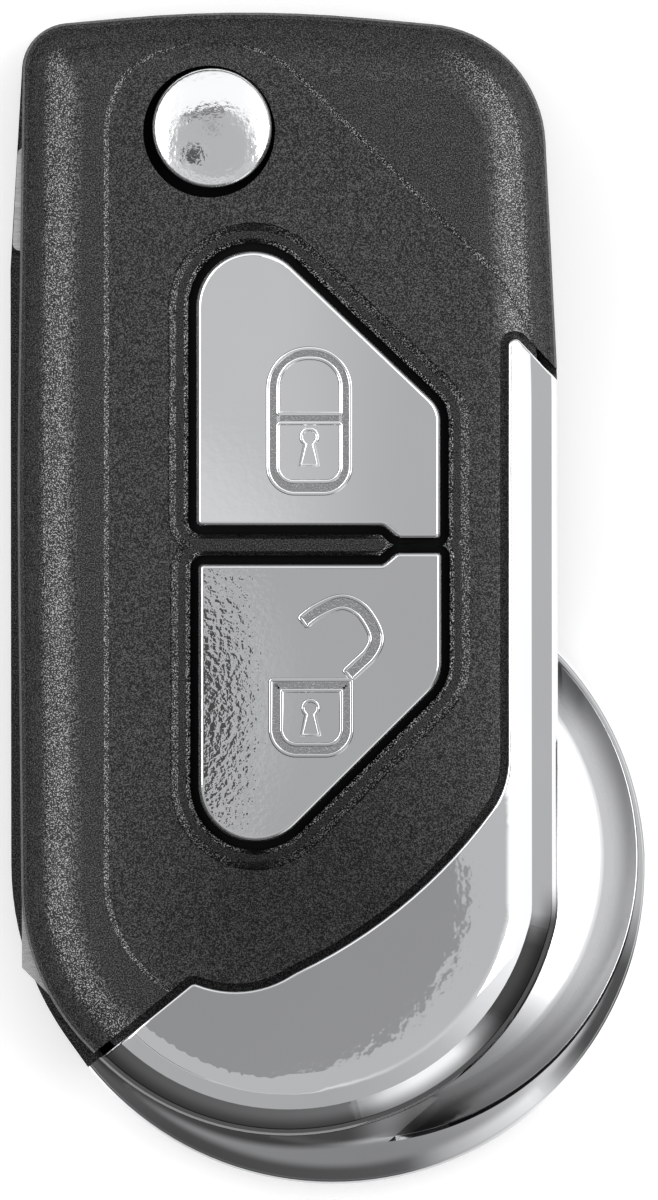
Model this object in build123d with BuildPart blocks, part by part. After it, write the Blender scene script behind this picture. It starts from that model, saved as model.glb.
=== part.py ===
from build123d import *
import os
from math import cos, hypot, radians, sin, tan

# Folding key fob. Lengths are in millimetres. The origin is the point where the blade's swing
# axis meets the flat back. +Z points out of the front face, +Y to the top, +X to the right.

# Heights above the flat back
PARTING = 7.5
SHOULDER = 11.0
FRONT = 14.6
BACK_SHOULDER = 2.6

# Shells
WALL = 1.3
ROOF = 1.4
FLOOR = 1.2
SIDE_TOP = 12.1
EDGE_PROFILE = [(0.15, 12.55), (0.4, 12.85)]
RIDGE_INSET = 1.7
RIDGE_HEIGHT = 13.9
RIDGE_ROUND = 1.0
CROWN_RUN = 4.2
CROWN_STEPS = 4
HOLLOW_RUN = 3.9
BACK_RUN = 2.2
LEAST_CORNER = 0.8
ROUND_STEPS = 6

# Fits
FIT = 0.05
SLACK = 0.3
RUNNING = 0.08
OVERRUN = 1.0

# Outlines, clockwise from the top left: corner x, corner y, corner radius
FRONT_OUTLINE = [
    (-12.9, 6.9, 3.2),
    (2.26, 8.28, 92.0),
    (22.44, 6.43, 8.5),
    (23.62, -17.0, 60.0),
    (23.66, -54.02, 7.0),
    (20.6, -65.41, 18.4),
    (-0.31, -71.01, 18.4),
    (-12.98, -58.35, 15.7),
    (-13.32, -24.0, 400.0),
]
BACK_OUTLINE = [
    (-12.83, 6.87, 3.2),
    (2.26, 8.26, 92.0),
    (22.44, 6.42, 8.5),
    (23.6, -17.0, 60.0),
    (23.64, -54.02, 7.0),
    (20.6, -65.41, 18.4),
    (-0.31, -71.01, 12.0),
    (-6.2, -67.4, 5.0),
    (-13.72, -56.87, 20.5),
    (-13.78, -9.6, 8.0),
]
FAR = 45.0

# Chrome bezel on the front and chrome collar behind it
SKIRT = 1.3
BEZEL_PLATE = 1.5
BEZEL_GAP = 0.5
BEZEL_EDGE = 0.25
BEZEL_CORNER = 0.5
BEZEL_BEND = 6.0
BEZEL_TIP = (20.2, -13.6)
BEZEL_SLOPE = 1.07
BEZEL_KNEE = (20.2, -45.0)
BEZEL_SWEEP = (13.1, -53.0)
BEZEL_DIP_START = (5.6, -57.75)
BEZEL_DIP = (1.44, -59.0)
BEZEL_CUSP = (-1.3, -58.4)
BEZEL_END_SLOPE = 0.81
COLLAR_CENTRE = (8.25, -50.7)
COLLAR_RADIUS = 21.5
COLLAR_TOP = -35.8
COLLAR_BASE = 0.8
COLLAR_NOSE = 6.6
COLLAR_HIP = 2.9
# Section of the collar: distance in from its rim, height
BEAD_FOOT = (4.9, 8.7)
BEAD_CREST = (2.1, 8.15)
BEAD_EDGE = (0.28, 7.05)
BEAD_ROUND = (0.07, 6.86)
COLLAR_HEEL = (0.68, 1.4)
COLLAR_SOLE = 2.5
BEAD_WIDTH = 0.5
DISH_CENTRE = (9.85, -49.9)
DISH_RADIUS = 19.2
DISH_JOIN = 16
DISH_RIM = 7.0
DISH_LOW = 5.95
DISH_LIP = 2.2
DISH_STEPS = 4
DISH_FLARE = 15
# Hill inside the dish, its foot below the floor: distance in from the dish's lip, rise
DISH_HILL = [(-0.3, -0.12), (0.7, 0.2), (1.5, 0.48), (3.0, 1.0), (7.0, 2.3)]
CREASE_TOP = (15.52, -66.26)
CREASE_TIP = (12.65, -68.79)
RING_SLOT_INNER = 17.4
RING_SLOT_OUTER = 19.5
RING_SLOT_LOW = 2.5
RING_SLOT_HIGH = 3.9
RING_SLOT_START = -38.0
RING_SLOT_SWEEP = 26.0

# Release button, its spring and the hub that it frees
BUTTON_RADIUS = 4.1
WELL_CENTRE = (-0.2, -0.25)
WELL_GAP = 0.42
BUTTON_EDGE = 14.95
BUTTON_CROWN = 15.6
BUTTON_BULGE = 0.76
BUTTON_SKIRT_RADIUS = 4.7
BUTTON_BORE = 3.5
BUTTON_FLANGE_RADIUS = 5.3
BUTTON_FLANGE = 1.3
BUTTON_FOOT = 8.0
BUTTON_TOP_WALL = 2.0
LUG_WIDTH = 2.0
LUG_SLOT_FOOT = 8.8
DRUM_RADIUS = 6.2
DRUM_BORE = 5.5
DRUM_FOOT = 1.5
DRUM_FLOOR = 1.7
DRUM_TOP = 12.3
POCKET_SIDE = 0.15
POCKET_ROOM = 0.2
HUB_LOW = 4.0
HUB_HIGH = 11.0
HUB_RADIUS = 7.0
HUB_SHOULDER = (-13.3, -1.6)
HUB_CORNER = (-13.65, -8.4)
HUB_MARGIN = 0.8
HUB_EDGE = 0.5
PIVOT_RADIUS = 1.5
PIVOT_TOP = 4.6
RING_WALL = 1.05
SPRING_RADIUS = 2.75
SPRING_WIRE = 0.35
SPRING_TURNS = 6

# Blade, a plain uncut blank
BLADE_EDGE = -13.0
BLADE_WIDTH = 8.8
BLADE_TIP = -60.2
BLADE_TIP_CUT = 2.8
BLADE_TIP_ROOM = 0.8
BLADE_THICKNESS = 2.4
BLADE_LEVEL = 7.5
BLADE_GROOVE = 2.0
BLADE_GROOVE_DEPTH = 0.5
BLADE_GROOVE_INSET = 2.0
TANG_LEFT = -11.4
TANG_RIGHT = -6.6
TANG_TOP = -3.4
PIN_PLACE = (-9.0, -5.9)
PIN_RADIUS = 0.8
PIN_WALL = 0.3
PIN_SLIT = 0.35

# Function buttons: corner x, corner y, corner radius
LOCK_OUTLINE = [
    (-1.07, -3.25, 3.86),
    (15.63, -19.15, 2.1),
    (15.63, -28.09, 0.35),
    (12.75, -28.09, 0.5),
    (11.7, -27.22, 0.5),
    (-1.07, -27.22, 0.35),
]
UNLOCK_OUTLINE = [
    (-0.93, -29.8, 0.35),
    (11.7, -29.8, 0.5),
    (12.65, -29.0, 0.5),
    (15.7, -29.0, 0.35),
    (15.7, -37.76, 3.0),
    (-0.93, -54.29, 3.9),
]
CAP_TOP = 14.95
CAP_EDGE = 0.35
CAP_SHELL = 1.0
CAP_ROOF = 1.2
CAP_GAP = 0.57
FLANGE_REACH = 1.25
FLANGE = 0.8
FLANGE_GAP = 0.1
FLANGE_SPLIT = -28.5
PUSHER_RADIUS = 2.2
MOAT_REACH = 1.95
MOAT_DEPTH = 0.4
MOAT_SLOPE = 55
LIP = 0.3
LIP_SLOPE = 45
PANEL_STEP = 0.2
PANEL_SLOPE = 60
PANEL_CORNER_TOP = (-5.84, 13.35, 5.7)
PANEL_RIGHT = 26.0
PANEL_FOOT = -58.8
PANEL_FOOT_RADIUS = 7.5

# Electronics
BOARD_RIGHT = 17.9
BOARD_TOP = -9.9
BOARD_FOOT = -52.0
BOARD_LEVEL = 9.0
BOARD = 0.8
BOARD_CORNER = 1.5
SWITCH_SIZE = 3.6
SWITCH_BODY = 0.8
SWITCH_PLUNGER = 0.5
SWITCH_PLUNGER_RADIUS = 0.9
LOCK_CENTRE = (6.6, -20.0)
UNLOCK_CENTRE = (6.8, -38.4)
DOME_RADIUS = 3.7
DOME_WALL = 0.6
DOME_HEIGHT = 2.2
DOME_ROOM = 0.15
DOME_SLOPE = 0.4
DOME_FOOT = 0.3
CHIP_SIZE = 5.0
CHIP_HEIGHT = 1.0
CHIP_CENTRE = (12.4, -44.0)
CHIP_EDGE = 0.2
CELL_RADIUS = 10.0
CELL_HEIGHT = 3.2
CELL_STEP = 0.6
CELL_STEP_HEIGHT = 0.4
CELL_EDGE = 0.3
CELL_FOOT_EDGE = -63.3
CELL_GAP = 0.2
CARRIER_WALL = 0.9
CARRIER_LIFT = 0.1
CARRIER_RING = 1.6
CONTACT = 0.2
CONTACT_WIDTH = 3.0
CONTACT_OFFSET = 0.63
CONTACT_FOOT = 1.5
CONTACT_BEND = 1.0
CONTACT_BOW = 0.6
TRANSPONDER = (11.0, 5.6, 2.9)
TRANSPONDER_CENTRE = (14.7, -6.1)
TRANSPONDER_EDGE = 0.8
TRANSPONDER_RIM = (1.0, 0.6)
TRANSPONDER_RIM_HEIGHT = 2.0
BLADE_CLEAR = 0.5
CARRIER_CLEAR = 0.1
BOARD_CLEAR = 0.5
PARTITION_WALL = 1.2
RIB_WALL = 0.8
RIB_COUNT = 6
RIB_PITCH = 8.0

# Screws
SCREW_PLACES = [(18.2, 1.2), (-1.0, -63.0)]
SCREW_SHANK = 0.9
SCREW_HEAD = 1.8
SCREW_HEAD_DEPTH = 0.9
SCREW_SUNK = 0.15
SCREW_HEAD_ROOM = 0.1
SCREW_TIP = 10.5
SCREW_DRIVE = 0.5
SCREW_DRIVE_SPAN = 2.16
BOSS_RADIUS = 2.3

# Values that follow
inner_roof = FRONT - ROOF
shelf = FRONT - BEZEL_PLATE
core_inset = SKIRT + FIT
pocket_radius = DRUM_RADIUS + POCKET_SIDE
pocket_top = DRUM_TOP + POCKET_ROOM
hub_slot_low = HUB_LOW - SLACK
hub_slot_high = HUB_HIGH + SLACK
hub_reach = hypot(*HUB_CORNER) + SLACK
hub_limit = SLACK - HUB_CORNER[0]
hub_foot = HUB_CORNER[1] - SLACK
blade_right = BLADE_EDGE + BLADE_WIDTH
partition_left = blade_right + BLADE_CLEAR
partition_right = partition_left + PARTITION_WALL
board_left = partition_right + BOARD_CLEAR
blade_low = BLADE_LEVEL - BLADE_THICKNESS / 2
blade_high = BLADE_LEVEL + BLADE_THICKNESS / 2
slot_low = blade_low - SLACK
slot_high = blade_high + SLACK
slot_foot = BLADE_TIP - BLADE_TIP_ROOM
drum_floor_top = DRUM_FOOT + DRUM_FLOOR
button_ceiling = BUTTON_CROWN - BUTTON_TOP_WALL
flange_top = inner_roof - FLANGE_GAP
flange_foot = flange_top - FLANGE
board_top = BOARD_LEVEL + BOARD
dome_top = board_top + DOME_HEIGHT
carrier_floor = FLOOR + CARRIER_LIFT
cell_floor = carrier_floor + CARRIER_WALL
cell_foot = cell_floor + CONTACT
cell_top = cell_foot + CELL_HEIGHT
cell_ring_radius = CELL_RADIUS + CELL_GAP + CARRIER_WALL
cell_centre = (partition_right + CARRIER_CLEAR + cell_ring_radius, CELL_FOOT_EDGE + CELL_RADIUS)
contact_row = cell_centre[1] + CELL_RADIUS * CONTACT_OFFSET


def moved_in(corners, inset):
    """Corners and radii of a clockwise outline whose sides all move inwards by inset."""
    points = [Vector(x, y) for x, y, radius in corners]
    moved = []
    radii = []
    for place, (x, y, radius) in enumerate(corners):
        before = (points[place] - points[place - 1]).normalized()
        after = (points[(place + 1) % len(points)] - points[place]).normalized()
        inward_before = Vector(before.Y, -before.X)
        inward_after = Vector(after.Y, -after.X)
        reach = inset / (1 + inward_before.dot(inward_after))
        moved.append(points[place] + (inward_before + inward_after) * reach)
        radii.append(max(radius - inset, LEAST_CORNER))
    return moved, radii


def outline_face(corners, inset=0.0, height=0.0):
    """Face of a rounded outline, drawn in by inset, at a height."""
    points, radii = moved_in(corners, inset)
    with BuildSketch(Plane.XY.offset(height)) as outline:
        with BuildLine():
            FilletPolyline(*points, radius=radii, close=True)
        make_face()
    return outline.sketch


def prism(face, low, high):
    """Solid over a face drawn at height zero, from low to high."""
    return extrude(face.moved(Location((0, 0, low))), amount=high - low, mode=Mode.PRIVATE)


def crowned_body(corners):
    """Front form: a straight side, a bevel up to a soft ridge and a shallow crown inside it."""
    rise = FRONT - RIDGE_HEIGHT
    sections = []
    for step in range(CROWN_STEPS + 1):
        part = step / CROWN_STEPS
        inset = RIDGE_INSET + (CROWN_RUN - RIDGE_INSET) * part
        sections.append(outline_face(corners, inset, FRONT - rise * (1 - part) ** 2))
    with BuildPart() as body:
        extrude(outline_face(corners, 0, PARTING), amount=SIDE_TOP - PARTING)
        edge = [outline_face(corners, inset, height) for inset, height in EDGE_PROFILE]
        loft([outline_face(corners, 0, SIDE_TOP), *edge, sections[0]], ruled=True)
        loft(sections)
        ridge = body.edges().filter_by_position(Axis.Z, RIDGE_HEIGHT - FIT, RIDGE_HEIGHT + FIT)
        fillet(ridge, radius=RIDGE_ROUND)
    return body.part


def rounded_body(corners, shoulder, face_height, run):
    """Back form: straight from the parting plane to its shoulder, then rounded like a quarter ellipse."""
    with BuildPart() as body:
        extrude(outline_face(corners, 0, PARTING), amount=shoulder - PARTING)
        sections = []
        for step in range(ROUND_STEPS + 1):
            turn = radians(90 * step / ROUND_STEPS)
            height = shoulder + (face_height - shoulder) * sin(turn)
            sections.append(outline_face(corners, run * (1 - cos(turn)), height))
        loft(sections)
    return body.part


def bezel_area(grow=0.0):
    """Area of the chrome bezel in plan, running on past the edge of the fob, grown into the cover."""
    reach = FAR - BEZEL_TIP[0]
    drop = FAR + BEZEL_CUSP[0]
    with BuildSketch() as area:
        with BuildLine():
            Line((FAR, BEZEL_TIP[1] - reach * BEZEL_SLOPE), BEZEL_TIP)
            Line(BEZEL_TIP, BEZEL_KNEE)
            ThreePointArc(BEZEL_KNEE, BEZEL_SWEEP, BEZEL_DIP_START)
            ThreePointArc(BEZEL_DIP_START, BEZEL_DIP, BEZEL_CUSP)
            Line(BEZEL_CUSP, (-FAR, BEZEL_CUSP[1] - drop * BEZEL_END_SLOPE))
            Line((-FAR, BEZEL_CUSP[1] - drop * BEZEL_END_SLOPE), (-FAR, -3 * FAR))
            Line((-FAR, -3 * FAR), (FAR, -3 * FAR))
            Line((FAR, -3 * FAR), (FAR, BEZEL_TIP[1] - reach * BEZEL_SLOPE))
        make_face()
        tips = area.vertices().filter_by_position(Axis.X, BEZEL_CUSP[0] - FIT, BEZEL_TIP[0] + FIT)
        fillet([tips.sort_by(Axis.Y)[-1], tips.sort_by(Axis.X)[0]], radius=BEZEL_CORNER)
        bends = area.vertices().filter_by_position(Axis.Y, BEZEL_DIP_START[1] - FIT, BEZEL_KNEE[1] + FIT)
        fillet(bends.filter_by_position(Axis.X, BEZEL_DIP_START[0] - FIT, FAR / 2), radius=BEZEL_BEND)
        if grow:
            offset(amount=grow)
    return area.sketch


def collar_area():
    """Area of the chrome collar in plan, from its top on the right to the bezel's end at the lower left."""
    drop = FAR + BEZEL_CUSP[0]
    middle = (BEZEL_SWEEP[0], BEZEL_KNEE[1])
    with BuildSketch() as area:
        with BuildLine():
            Polyline(
                (FAR, COLLAR_TOP),
                (BEZEL_SWEEP[0], COLLAR_TOP),
                middle,
                BEZEL_CUSP,
                (-FAR, BEZEL_CUSP[1] - drop * BEZEL_END_SLOPE),
                (-FAR, -3 * FAR),
                (FAR, -3 * FAR),
                close=True,
            )
        make_face()
    return area.sketch


def cap_face(corners, grow=0.0):
    """Face of a function button in plan, grown on all sides."""
    with BuildSketch() as face:
        with BuildLine():
            FilletPolyline(
                *[(x, y) for x, y, radius in corners],
                radius=[radius for x, y, radius in corners],
                close=True,
            )
        make_face()
        if grow:
            offset(amount=grow)
    return face.sketch


def caps_face(grow):
    """Both function buttons in plan, grown until they join."""
    with BuildSketch() as face:
        add(cap_face(LOCK_OUTLINE, grow))
        add(cap_face(UNLOCK_OUTLINE, grow))
    return face.sketch


def box_between(low, high):
    """Block between two opposite corners."""
    size = [b - a for a, b in zip(low, high)]
    return Pos(*low) * Box(*size, align=(Align.MIN, Align.MIN, Align.MIN), mode=Mode.PRIVATE)


def rod(centre, radius, low, high):
    """Upright round solid."""
    base = (Align.CENTER, Align.CENTER, Align.MIN)
    return Pos(centre[0], centre[1], low) * Cylinder(radius, high - low, align=base, mode=Mode.PRIVATE)


def hub_face():
    """Hub in plan: a round drum with an arm that reaches the fob's left side."""
    with BuildSketch() as face:
        with BuildLine():
            CenterArc((0, 0), HUB_RADIUS, 0, 360)
            Polyline(HUB_SHOULDER, HUB_CORNER, (blade_right + HUB_MARGIN, HUB_CORNER[1]))
        make_hull()
    return face.sketch


def radial_plane(centre, angle):
    """Upright plane through a point, its first axis pointing outwards at an angle and its second up."""
    turn = radians(angle)
    return Plane(origin=(*centre, 0), x_dir=(cos(turn), sin(turn), 0), z_dir=(sin(turn), -cos(turn), 0))


def rib_rows():
    """Rows of the ribs that guide the blade, counted down from the hub."""
    return [hub_foot - RIB_PITCH * (row + 1) for row in range(RIB_COUNT)]


outer_front = crowned_body(FRONT_OUTLINE)
outer_back = rounded_body(BACK_OUTLINE, BACK_SHOULDER, 0.0, BACK_RUN)
core_face = outline_face(FRONT_OUTLINE, core_inset)
core_hollow_face = outline_face(FRONT_OUTLINE, core_inset + WALL)

# Room that the swinging hub and the stowed blade need between the two shells
with BuildPart() as swing_room:
    with BuildSketch(Plane.XY.offset(hub_slot_low)):
        Circle(hub_reach)
        with Locations((hub_limit - FAR, hub_foot)):
            Rectangle(FAR, FAR, align=(Align.MIN, Align.MIN), mode=Mode.INTERSECT)
    extrude(amount=hub_slot_high - hub_slot_low)
    add(box_between((-FAR, slot_foot, slot_low), (partition_left, hub_foot + OVERRUN, slot_high)))

# Hollow of the front cover
with BuildPart() as front_hollow:
    extrude(outline_face(FRONT_OUTLINE, WALL, PARTING), amount=SHOULDER - PARTING)
    loft([
        outline_face(FRONT_OUTLINE, WALL, SHOULDER),
        outline_face(FRONT_OUTLINE, WALL + HOLLOW_RUN, inner_roof),
    ])
    add(prism(bezel_area() - core_hollow_face, PARTING, FRONT), mode=Mode.SUBTRACT)
    add(prism(bezel_area(BEZEL_GAP + WALL), shelf - WALL, FRONT), mode=Mode.SUBTRACT)
    add(
        box_between((partition_left, slot_foot - WALL, PARTING), (partition_right, hub_foot, FRONT)),
        mode=Mode.SUBTRACT,
    )
    add(rod((0, 0), pocket_radius + RING_WALL, hub_slot_high, FRONT), mode=Mode.SUBTRACT)
    for place in SCREW_PLACES:
        add(rod(place, BOSS_RADIUS, PARTING, FRONT), mode=Mode.SUBTRACT)
    for row in rib_rows():
        add(
            box_between((-FAR, row, slot_high), (partition_left, row + RIB_WALL, FRONT)),
            mode=Mode.SUBTRACT,
        )

with BuildPart() as front_cover:
    add(outer_front)
    add(front_hollow.part, mode=Mode.SUBTRACT)
    add(prism(bezel_area(BEZEL_GAP), shelf, FRONT + OVERRUN), mode=Mode.SUBTRACT)
    add(prism(bezel_area(BEZEL_GAP) - core_face, PARTING, FRONT + OVERRUN), mode=Mode.SUBTRACT)
    add(swing_room.part, mode=Mode.SUBTRACT)
    add(rod((0, 0), pocket_radius, PARTING, pocket_top), mode=Mode.SUBTRACT)
    add(rod(WELL_CENTRE, BUTTON_RADIUS + WELL_GAP, PARTING, FRONT + OVERRUN), mode=Mode.SUBTRACT)
    # Shallow panel round the buttons, a step below the outer skin
    panel_corners = [
        PANEL_CORNER_TOP,
        (PANEL_RIGHT, PANEL_CORNER_TOP[1] - PANEL_RIGHT + PANEL_CORNER_TOP[0], LEAST_CORNER),
        (PANEL_RIGHT, PANEL_FOOT, LEAST_CORNER),
        (PANEL_CORNER_TOP[0], PANEL_FOOT, PANEL_FOOT_RADIUS),
    ]
    panel = extrude(
        outline_face(panel_corners, 0, RIDGE_HEIGHT - PANEL_STEP),
        amount=FRONT - RIDGE_HEIGHT + 2 * PANEL_STEP,
        taper=-PANEL_SLOPE,
        mode=Mode.PRIVATE,
    )
    panel = panel - outer_front.moved(Location((0, 0, -PANEL_STEP)))
    add(panel, mode=Mode.SUBTRACT)
    # Bevelled moat, then the opening for both caps with a bevelled lip
    moat_top = FRONT - PANEL_STEP
    moat_floor = moat_top - MOAT_DEPTH
    moat_face = caps_face(MOAT_REACH - MOAT_DEPTH * tan(radians(MOAT_SLOPE)))
    moat_face = moat_face.moved(Location((0, 0, moat_floor)))
    extrude(moat_face, amount=MOAT_DEPTH, taper=-MOAT_SLOPE, mode=Mode.SUBTRACT)
    lip_face = caps_face(CAP_GAP).moved(Location((0, 0, moat_floor - LIP)))
    extrude(lip_face, amount=LIP, taper=-LIP_SLOPE, mode=Mode.SUBTRACT)
    add(prism(caps_face(CAP_GAP), SHOULDER, FRONT + OVERRUN), mode=Mode.SUBTRACT)
    for place in SCREW_PLACES:
        add(rod(place, SCREW_SHANK + FIT / 2, PARTING, SCREW_TIP + SLACK), mode=Mode.SUBTRACT)

# Hollow of the back cover
with BuildPart() as back_hollow:
    add(prism(core_hollow_face, FLOOR, PARTING))
    wide = prism(outline_face(BACK_OUTLINE, WALL) - collar_area(), BACK_SHOULDER, PARTING)
    add(wide)
    add(
        box_between((partition_left, slot_foot - WALL, 0), (partition_right, hub_foot, PARTING)),
        mode=Mode.SUBTRACT,
    )
    add(rod((0, 0), pocket_radius + RING_WALL, 0, hub_slot_low), mode=Mode.SUBTRACT)
    for place in SCREW_PLACES:
        add(rod(place, BOSS_RADIUS, 0, PARTING), mode=Mode.SUBTRACT)
    for row in rib_rows():
        add(box_between((-FAR, row, 0), (partition_left, row + RIB_WALL, slot_low)), mode=Mode.SUBTRACT)
    # Low frame that holds the transponder
    rim_size = [size + 2 * rim for size, rim in zip(TRANSPONDER, TRANSPONDER_RIM)]
    seat_size = [size + 2 * FIT for size in TRANSPONDER[:2]]
    frame = Box(*rim_size, TRANSPONDER_RIM_HEIGHT, mode=Mode.PRIVATE)
    frame = frame - Box(*seat_size, TRANSPONDER_RIM_HEIGHT + OVERRUN, mode=Mode.PRIVATE)
    add(Pos(*TRANSPONDER_CENTRE, FLOOR + TRANSPONDER_RIM_HEIGHT / 2) * frame, mode=Mode.SUBTRACT)

with BuildPart() as back_cover:
    add(outer_back)
    add(back_hollow.part, mode=Mode.SUBTRACT)
    add(prism(collar_area() - core_face, -OVERRUN, PARTING + OVERRUN), mode=Mode.SUBTRACT)
    add(swing_room.part, mode=Mode.SUBTRACT)
    add(rod((0, 0), pocket_radius, FLOOR, PARTING + OVERRUN), mode=Mode.SUBTRACT)
    add(rod((0, 0), PIVOT_RADIUS, FLOOR / 2, PIVOT_TOP))
    for place in SCREW_PLACES:
        add(rod(place, SCREW_SHANK + FIT, -OVERRUN, PARTING + OVERRUN), mode=Mode.SUBTRACT)
        with Locations(Location((*place, 0), (180, 0, 0))):
            CounterSinkHole(SCREW_SHANK + FIT, SCREW_HEAD + SCREW_SUNK + SCREW_HEAD_ROOM, PARTING)

with BuildPart() as front_trim:
    add(outer_front)
    add(prism(bezel_area(), PARTING + FIT, FRONT + OVERRUN), mode=Mode.INTERSECT)
    add(prism(outline_face(FRONT_OUTLINE, SKIRT), PARTING - OVERRUN, shelf), mode=Mode.SUBTRACT)
    # Rolled edge along the black cover
    bezel_line = bezel_area().wires()[0]
    rolled = [
        edge for edge in front_trim.edges()
        if (edge @ 0.5).Z > RIDGE_HEIGHT - FIT
        and Vertex((edge @ 0.5).X, (edge @ 0.5).Y, 0).distance_to(bezel_line) < FIT
    ]
    fillet(rolled, radius=BEZEL_EDGE)

# Collar: a ring section turned about its own centre, with a bead for a rim
collar_axis = Axis((*COLLAR_CENTRE, 0), (0, 0, 1))
case_face = outline_face(FRONT_OUTLINE)


def dish_face(inset, height):
    """Plan of the wing's dish, bounded by two arcs of the bead, drawn in by inset."""
    rim = COLLAR_RADIUS - BEAD_WIDTH - inset
    with BuildSketch(Plane.XY.offset(height)) as dish:
        with BuildLine():
            upper = CenterArc(COLLAR_CENTRE, rim, DISH_JOIN, 90 - DISH_JOIN)
            guide = CenterArc(DISH_CENTRE, DISH_RADIUS - inset, 270, 90, mode=Mode.PRIVATE)
            lower = ThreePointArc(guide @ 0, guide @ 0.5, upper @ 0)
            Line(upper @ 1, lower @ 0)
        make_face()
    return dish.sketch


# Hollow of the dished wing: a concave wall inside the bead, then a rise towards the fob's side
dish_depth = DISH_RIM - DISH_LOW
wall_parts = [step / DISH_STEPS for step in range(DISH_STEPS + 1)]
dish_wall = loft(
    [dish_face(DISH_LIP * (1 - part), DISH_LOW + dish_depth * part ** 2) for part in wall_parts],
    mode=Mode.PRIVATE,
)
dish_hill = loft(
    [dish_face(DISH_LIP + run, DISH_LOW + rise) for run, rise in DISH_HILL],
    mode=Mode.PRIVATE,
)
dish_block = extrude(dish_face(0, DISH_LOW), amount=dish_depth, mode=Mode.PRIVATE)
dish_mouth = extrude(
    dish_face(0, DISH_RIM),
    amount=FRONT - DISH_RIM,
    taper=-DISH_FLARE,
    mode=Mode.PRIVATE,
)
# The dish ends in a sharp crease at its lower left tip
crease_end = (2 * CREASE_TIP[0] - CREASE_TOP[0], 2 * CREASE_TIP[1] - CREASE_TOP[1])
with BuildSketch() as crease_side:
    with BuildLine():
        Polyline(CREASE_TOP, crease_end, (0, crease_end[1]), (0, CREASE_TOP[1]), close=True)
    make_face()
scoops = [(dish_block - dish_hill) & dish_wall, dish_mouth - dish_hill]


def from_rim(point):
    """Place in the collar's section, for a distance in from its rim and a height."""
    return (COLLAR_RADIUS - point[0], point[1])


with BuildPart() as rear_collar:
    with BuildSketch(radial_plane(COLLAR_CENTRE, 0)):
        with BuildLine():
            nose = from_rim((0, COLLAR_NOSE))
            hip = from_rim((0, COLLAR_HIP))
            sole = from_rim((COLLAR_SOLE, COLLAR_BASE))
            foot = from_rim(BEAD_FOOT)
            edge = from_rim(BEAD_EDGE)
            Polyline(sole, (0, COLLAR_BASE), (0, BEAD_FOOT[1]), foot)
            ThreePointArc(foot, from_rim(BEAD_CREST), edge)
            ThreePointArc(edge, from_rim(BEAD_ROUND), nose)
            Line(nose, hip)
            ThreePointArc(hip, from_rim(COLLAR_HEEL), sole)
        make_face()
    revolve(axis=collar_axis)
    add(prism(collar_area(), 0, FRONT), mode=Mode.INTERSECT)
    add(prism(outline_face(FRONT_OUTLINE, SKIRT), 0, FRONT), mode=Mode.SUBTRACT)
    add(prism(outline_face(FRONT_OUTLINE, -FIT), PARTING - FIT, FRONT), mode=Mode.SUBTRACT)
    for scoop in scoops:
        scoop = scoop - prism(case_face, 0, FRONT) - prism(crease_side.sketch, 0, FRONT)
        add(scoop, mode=Mode.SUBTRACT)
    # Slot behind the wing for a key ring, leaving a bar at the heel
    with BuildSketch(radial_plane(COLLAR_CENTRE, RING_SLOT_START)):
        with BuildLine():
            Polyline(
                (RING_SLOT_INNER, 0),
                (RING_SLOT_INNER, RING_SLOT_HIGH),
                (FAR, RING_SLOT_HIGH),
                (FAR, RING_SLOT_LOW),
                (RING_SLOT_OUTER, RING_SLOT_LOW),
                (RING_SLOT_OUTER, 0),
                close=True,
            )
        make_face()
    revolve(axis=collar_axis, revolution_arc=RING_SLOT_SWEEP, mode=Mode.SUBTRACT)


def button_cap(corners, centre, low_side):
    """Function button: a chromed cap, hollow below, with a pusher and a flange that keeps it in."""
    split = FLANGE_SPLIT + (FLANGE_GAP if low_side else -FLANGE_GAP)
    left = partition_right + FLANGE_GAP
    keep = (left, split, 0) if low_side else (left, -2 * FAR, 0)
    until = (FAR, FAR, FRONT) if low_side else (FAR, split, FRONT)
    with BuildPart() as cap:
        add(prism(cap_face(corners), flange_foot, CAP_TOP))
        fillet(cap.faces().sort_by(Axis.Z)[-1].edges(), radius=CAP_EDGE)
        add(prism(cap_face(corners, FLANGE_REACH), flange_foot, flange_top) & box_between(keep, until))
        add(prism(outline_face(corners, CAP_SHELL), flange_foot, CAP_TOP - CAP_ROOF), mode=Mode.SUBTRACT)
        add(rod(centre, PUSHER_RADIUS, dome_top + FIT, CAP_TOP - CAP_ROOF))
    return cap.part


with BuildPart() as lock_button:
    add(button_cap(LOCK_OUTLINE, LOCK_CENTRE, True))

with BuildPart() as unlock_button:
    add(button_cap(UNLOCK_OUTLINE, UNLOCK_CENTRE, False))

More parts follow.
